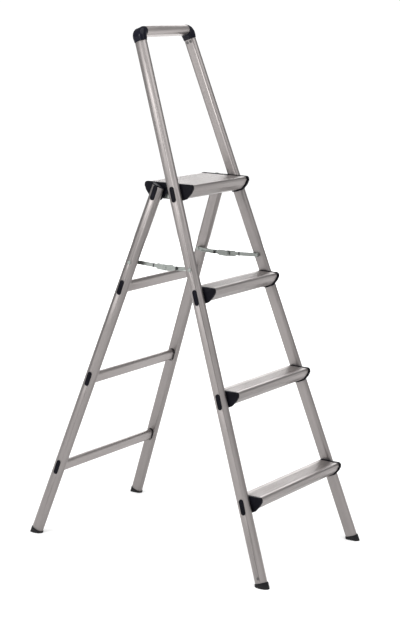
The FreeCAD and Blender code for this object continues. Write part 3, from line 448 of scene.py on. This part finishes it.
class LadderColours(bpy.types.PropertyGroup):
    anodised: FloatVectorProperty(name="Anodised aluminium", description="Tubes, treads and rails",
                                  subtype="COLOR", size=3, default=(0.315, 0.292, 0.286))
    plastic: FloatVectorProperty(name="Black plastic", description="Caps, plugs and collars",
                                 subtype="COLOR", size=3, default=(0.004, 0.004, 0.006))
    elbow: FloatVectorProperty(name="Elbow plastic", description="Glossy handle elbows",
                               subtype="COLOR", size=3, default=(0.004, 0.004, 0.008))
    rubber: FloatVectorProperty(name="Foot rubber", description="Boots and shoes",
                                subtype="COLOR", size=3, default=(0.005, 0.005, 0.006))
    steel: FloatVectorProperty(name="Plated steel", description="Stays, rivets, screws and hinge plates",
                               subtype="COLOR", size=3, default=(0.27, 0.285, 0.272))
    band: FloatVectorProperty(name="Dark bands", description="Crimped bands on the stays",
                              subtype="COLOR", size=3, default=(0.05, 0.05, 0.052))
    rivet: FloatVectorProperty(name="Dull rivets", description="Rivets at the elbows and boots",
                               subtype="COLOR", size=3, default=(0.13, 0.125, 0.125))
    floor: FloatVectorProperty(name="Floor", description="Studio floor", subtype="COLOR", size=3,
                               default=(0.93, 0.93, 0.93))


class LadderSizes(bpy.types.PropertyGroup):
    edge: FloatProperty(name="Edge rounding", description="Softness of cut metal edges",
                        default=0.0004, unit="LENGTH")
    moulded_edge: FloatProperty(name="Moulded edge", description="Softness of moulded plastic edges",
                                default=0.001, unit="LENGTH")
    steel_edge: FloatProperty(name="Steel edge", description="Softness of pressed steel edges",
                              default=0.0002, unit="LENGTH")
    edge_steps: IntProperty(name="Edge steps", description="Facets across a rounded edge", default=2)
    elbow_steps: IntProperty(name="Elbow steps", description="Facets across an elbow's edge", default=3)
    plug_long: FloatProperty(name="Plug length", description="Along the tube", default=0.04, unit="LENGTH")
    plug_wide: FloatProperty(name="Plug width", description="Across the tube", default=0.0126, unit="LENGTH")
    plug_deep: FloatProperty(name="Plug depth", description="From its face into the tube",
                             default=0.0028, unit="LENGTH")
    plug_rim: FloatProperty(name="Plug rim", description="Width of the rolled rim",
                            default=0.0016, unit="LENGTH")
    plug_dish: FloatProperty(name="Plug dish", description="Depth of the dished face",
                             default=0.0006, unit="LENGTH")
    rivet_wide: FloatProperty(name="Rivet width", description="Across a head", default=0.0075, unit="LENGTH")
    rivet_tall: FloatProperty(name="Rivet height", description="Height of a head",
                              default=0.0018, unit="LENGTH")
    rivet_deep: FloatProperty(name="Rivet depth", description="Head and shank", default=0.0026, unit="LENGTH")
    band_long: FloatProperty(name="Band length", description="Along the link", default=0.0045, unit="LENGTH")
    band_thick: FloatProperty(name="Band thickness", description="Metal round the link",
                              default=0.0003, unit="LENGTH")
    band_back: FloatProperty(name="Band setback", description="From the knuckle to the band",
                             default=0.036, unit="LENGTH")


class LadderStudio(bpy.types.PropertyGroup):
    eye: FloatVectorProperty(name="Eye", description="Camera position", size=3, unit="LENGTH",
                             default=(-3.5919, -2.4715, 1.4848))
    heading: FloatProperty(name="Heading", description="Camera's turn from straight ahead, to the right",
                           default=math.radians(55.597), unit="ROTATION")
    tilt: FloatProperty(name="Tilt", description="Camera's tilt below level",
                        default=math.radians(11.187), unit="ROTATION")
    roll: FloatProperty(name="Roll", description="Camera's roll",
                        default=math.radians(0.608), unit="ROTATION")
    focal: FloatProperty(name="Focal length", description="Lens, in millimetres", default=98.64)
    key: FloatProperty(name="Key light", description="Power of the large soft light", default=18.0)
    fill: FloatProperty(name="Fill light", description="Power of the low fill light", default=62.0)
    back: FloatProperty(name="Back light", description="Power of the wide light behind", default=105.0)
    sky: FloatProperty(name="Surround", description="Brightness of the white surround", default=0.5)
    sun: FloatProperty(name="Overhead light", description="Strength of the wide overhead light", default=2.3)


# ---------------------------------------------------------------- operators

class LADDER_OT_tubes(bpy.types.Operator):
    """Finish the stiles, rear legs, rear rails and handle bar in anodised aluminium."""
    bl_idname = "ladder.tubes"
    bl_label = "Tubes"

    def execute(self, context):
        colour = context.scene.ladder_colours.anodised
        sizes = context.scene.ladder_sizes
        # painted light and shade: each tube, the bar and the rails get a lighter or darker copy of the same
        # metal to stand in for how brightly they are lit
        for word in SIDES:
            for kind in ("stile", "rear_leg"):
                node = "%s_%s" % (kind, word)
                low, high = tube_axis(node)
                dress(NODES[node], aluminium("anodised_" + node, high - low, colour, PAINTED_LIGHT_TONES[kind]))
        dress(NODES["handle_bar"], aluminium("anodised_bar", ACROSS, colour, PAINTED_LIGHT_TONES["bar"]))
        rail = aluminium("anodised_rail", ACROSS, colour, PAINTED_LIGHT_TONES["rail"])
        for node in ("rear_rail_1", "rear_rail_2", "rear_rail_3"):
            dress(NODES[node], rail)
        for node in NODES:
            if node.startswith(("stile_left", "stile_right", "rear_leg", "handle_bar", "rear_rail")):
                soften(NODES[node], sizes.edge, sizes.edge_steps)
        return {"FINISHED"}


class LADDER_OT_treads(bpy.types.Operator):
    """Finish the ribbed treads and the platform deck."""
    bl_idname = "ladder.treads"
    bl_label = "Treads"

    def execute(self, context):
        sizes = context.scene.ladder_sizes
        colour = context.scene.ladder_colours.anodised
        # painted light and shade: the treads' copy of the metal is made lighter or darker to stand in for how
        # brightly they are lit
        material = aluminium("anodised_tread", ACROSS, colour, PAINTED_LIGHT_TONES["tread"])
        for node in ("tread_1", "tread_2", "tread_3", "platform_deck"):
            dress(NODES[node], material)
            soften(NODES[node], sizes.edge * FINE, sizes.edge_steps)
        return {"FINISHED"}


class LADDER_OT_caps(bpy.types.Operator):
    """Finish the moulded end caps, collars, inserts and washers."""
    bl_idname = "ladder.caps"
    bl_label = "Caps"

    def execute(self, context):
        sizes = context.scene.ladder_sizes
        material = moulded_black("moulded_cap", context.scene.ladder_colours.plastic, 0.38, 0.5, 0.3)
        for node in NODES:
            if any(word in node for word in ("cap_", "collars", "insert", "washers")):
                dress(NODES[node], material)
                soften(NODES[node], sizes.moulded_edge * FINE, sizes.edge_steps)
        return {"FINISHED"}


class LADDER_OT_plugs(bpy.types.Operator):
    """Model one dished plug and set it in every slot of the stiles and rear legs."""
    bl_idname = "ladder.plugs"
    bl_label = "Plugs"

    def execute(self, context):
        sizes = context.scene.ladder_sizes
        material = moulded_black("moulded_plug", context.scene.ladder_colours.plastic, 0.3, 0.42, 0.25)
        pattern = dished_plug("plug_pattern", sizes.plug_long, sizes.plug_wide, sizes.plug_deep,
                              sizes.plug_rim, sizes.plug_dish)
        for kind, tube, body in (("stile_plugs_", "stile_", "front_frame"),
                                 ("leg_plugs_", "rear_leg_", "rear_frame")):
            for word, side in SIDES.items():
                low, high = tube_axis(tube + word)
                places = [seat(points, high - low, outward(side)) for points in islands(kind + word)]
                set_out(pattern, kind + word + "_dished", places, material, body, kind + word)
        discard(pattern)
        return {"FINISHED"}


class LADDER_OT_rivets(bpy.types.Operator):
    """Model one domed rivet and set it under the elbows and above the boots."""
    bl_idname = "ladder.rivets"
    bl_label = "Rivets"

    def execute(self, context):
        sizes = context.scene.ladder_sizes
        material = zinc_plate("dull_rivet", context.scene.ladder_colours.rivet)
        pattern = domed_rivet("rivet_pattern", sizes.rivet_wide, sizes.rivet_tall, sizes.rivet_deep)
        for node, facing in (("elbow_rivets", -1), ("foot_rivets", 1)):
            places = []
            for points in islands(node):
                side = 1 if points[0].x > 0 else -1
                places.append(seat(points, UP, outward(side) * facing))
            set_out(pattern, node + "_domed", places, material, "front_frame", node)
        discard(pattern)
        return {"FINISHED"}


class LADDER_OT_bands(bpy.types.Operator):
    """Model the dark crimped band round each stay link, beside its knuckle plate."""
    bl_idname = "ladder.bands"
    bl_label = "Stay Bands"

    def execute(self, context):
        sizes = context.scene.ladder_sizes
        material = zinc_plate("dark_band", context.scene.ladder_colours.band)
        for kind in ("front", "rear"):
            for word, side in SIDES.items():
                link = "stay_%s_%s" % (kind, word)
                pivot = Vector(JOINTS[link + "_swing"]["pos_m"])
                out = outward(side)
                pin = islands("knuckle_rivet_%s_%s" % (kind, word))[0]
                span = sum(pin, Vector()) / len(pin) - pivot
                along = (span - out * span.dot(out)).normalized()
                across = out.cross(along)
                points = [vertex.co for vertex in NODES[link].data.vertices]
                reach = span.length - sizes.band_back
                start = pivot.dot(along)
                channel = [point for point in points if point.dot(along) - start < reach]
                place = along * (start + reach - sizes.band_long / 2)
                extent = [sizes.band_long]
                for axis in (across, out):
                    ends = [point.dot(axis) for point in channel]
                    place += axis * (min(ends) + max(ends)) / 2
                    extent.append(max(ends) - min(ends) + 2 * sizes.band_thick)
                bpy.ops.object.select_all(action="DESELECT")
                bpy.ops.mesh.primitive_cube_add(size=1)
                band = context.active_object
                band.name = "stay_band_%s_%s" % (kind, word)
                band.scale = extent
                bpy.ops.object.transform_apply(location=False, rotation=False, scale=True)
                bpy.ops.object.mode_set(mode="EDIT")
                bpy.ops.mesh.select_all(action="SELECT")
                bpy.ops.mesh.bevel(offset=sizes.band_long * 0.18, segments=3, affect="EDGES")
                finished(band)
                band.matrix_world = Matrix.Translation(place) @ facing(along, across, out)
                bpy.ops.object.transform_apply(location=True, rotation=True, scale=True)
                dress(band, material)
                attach(band, link)
        return {"FINISHED"}


class LADDER_OT_elbows(bpy.types.Operator):
    """Finish the glossy handle elbows."""
    bl_idname = "ladder.elbows"
    bl_label = "Handle Elbows"

    def execute(self, context):
        sizes = context.scene.ladder_sizes
        material = moulded_black("moulded_elbow", context.scene.ladder_colours.elbow, 0.16, 0.26, 0.08, 0.2)
        for word in SIDES:
            node = NODES["handle_elbow_" + word]
            dress(node, material)
            soften(node, sizes.moulded_edge, sizes.elbow_steps)
        return {"FINISHED"}


class LADDER_OT_feet(bpy.types.Operator):
    """Finish the rubber boots and shoes."""
    bl_idname = "ladder.feet"
    bl_label = "Feet"

    def execute(self, context):
        sizes = context.scene.ladder_sizes
        material = foot_rubber("boot_rubber", context.scene.ladder_colours.rubber)
        for node in ("front_foot_left", "front_foot_right", "rear_foot_left", "rear_foot_right"):
            dress(NODES[node], material)
            soften(NODES[node], sizes.moulded_edge, sizes.edge_steps)
        return {"FINISHED"}


class LADDER_OT_steelwork(bpy.types.Operator):
    """Finish the stays, rivets, screws, bushes and hinge plates."""
    bl_idname = "ladder.steelwork"
    bl_label = "Steelwork"

    def execute(self, context):
        sizes = context.scene.ladder_sizes
        material = zinc_plate("zinc_plate", context.scene.ladder_colours.steel)
        words = ("stay_", "knuckle", "screws", "bushes", "hinge_plate")
        for node in NODES:
            if any(word in node for word in words):
                dress(NODES[node], material)
                soften(NODES[node], sizes.steel_edge, sizes.edge_steps)
        return {"FINISHED"}


class LADDER_OT_studio(bpy.types.Operator):
    """Set up the floor, lights and camera."""
    bl_idname = "ladder.studio"
    bl_label = "Studio"

    def execute(self, context):
        scene = context.scene
        studio = scene.ladder_studio
        bpy.ops.object.select_all(action="DESELECT")
        bpy.ops.mesh.primitive_plane_add(size=FLOOR_SPAN, location=(0, 0, 0))
        floor = context.active_object
        floor.name = "studio_floor"
        dress(floor, studio_floor("studio_floor", scene.ladder_colours.floor))

        world = bpy.data.worlds.new("studio_surround")
        world.use_nodes = True
        surround = world.node_tree.nodes["Background"]
        surround.inputs["Color"].default_value = (1, 1, 1, 1)
        surround.inputs["Strength"].default_value = studio.sky
        scene.world = world
        scene.view_settings.view_transform = "Standard"
        bpy.ops.object.light_add(type="SUN", location=(0, 0, 4), rotation=OVERHEAD_TURN)
        overhead = context.active_object
        overhead.name = "overhead_light"
        overhead.data.energy = studio.sun
        overhead.data.angle = OVERHEAD_SPREAD

        height = CAD_BOX[1][2]
        for name, place, power, width in (
                ("key_light", (-1.6, -3.4, 3.2), studio.key, 2.4),
                ("fill_light", (-3.4, 1.5, 2.0), studio.fill, 1.3),
                ("back_light", (3.9, 2.7, 2.0), studio.back, 3.6)):
            bpy.ops.object.light_add(type="AREA", location=place)
            light = context.active_object
            light.name = name
            light.data.energy = power
            light.data.size = width
            aim = Vector((0, 0, height / 2)) - Vector(place)
            light.rotation_euler = aim.to_track_quat("-Z", "Y").to_euler()

        bpy.ops.object.camera_add(location=studio.eye)
        camera = context.active_object
        camera.name = "studio_camera"
        aimed = Euler((math.pi / 2 - studio.tilt, 0, -studio.heading)).to_matrix()
        camera.rotation_euler = (aimed @ Matrix.Rotation(studio.roll, 3, "Z")).to_euler()
        camera.data.lens = studio.focal
        camera.data.sensor_width = 36.0
        camera.data.clip_end = 1000
        scene.camera = camera
        return {"FINISHED"}


class LADDER_PT_panel(bpy.types.Panel):
    """Lists the ladder's pieces in the order they are made."""
    bl_idname = "LADDER_PT_panel"
    bl_label = "Step Ladder"
    bl_space_type = "VIEW_3D"
    bl_region_type = "UI"
    bl_category = "Ladder"

    def draw(self, context):
        layout = self.layout
        for operator in OPERATORS:
            layout.operator(operator.bl_idname)
        for group in (context.scene.ladder_sizes, context.scene.ladder_colours, context.scene.ladder_studio):
            for name in group.bl_rna.properties.keys():
                if name not in {"rna_type", "name"}:
                    layout.prop(group, name)


OPERATORS = (LADDER_OT_tubes, LADDER_OT_treads, LADDER_OT_caps, LADDER_OT_plugs, LADDER_OT_rivets,
             LADDER_OT_bands, LADDER_OT_elbows, LADDER_OT_feet, LADDER_OT_steelwork, LADDER_OT_studio)
GROUPS = (("ladder_sizes", LadderSizes), ("ladder_colours", LadderColours), ("ladder_studio", LadderStudio))


def register():
    for name, group in GROUPS:
        bpy.utils.register_class(group)
        setattr(bpy.types.Scene, name, PointerProperty(type=group))
    for operator in OPERATORS:
        bpy.utils.register_class(operator)
    bpy.utils.register_class(LADDER_PT_panel)


def unregister():
    bpy.utils.unregister_class(LADDER_PT_panel)
    for operator in reversed(OPERATORS):
        bpy.utils.unregister_class(operator)
    for name, group in reversed(GROUPS):
        delattr(bpy.types.Scene, name)
        bpy.utils.unregister_class(group)


def main():
    register()
    bpy.ops.ladder.tubes()
    bpy.ops.ladder.treads()
    bpy.ops.ladder.caps()
    bpy.ops.ladder.plugs()
    bpy.ops.ladder.rivets()
    bpy.ops.ladder.bands()
    bpy.ops.ladder.elbows()
    bpy.ops.ladder.feet()
    bpy.ops.ladder.steelwork()
    bpy.ops.ladder.studio()


if __name__ == "__main__":
    main()
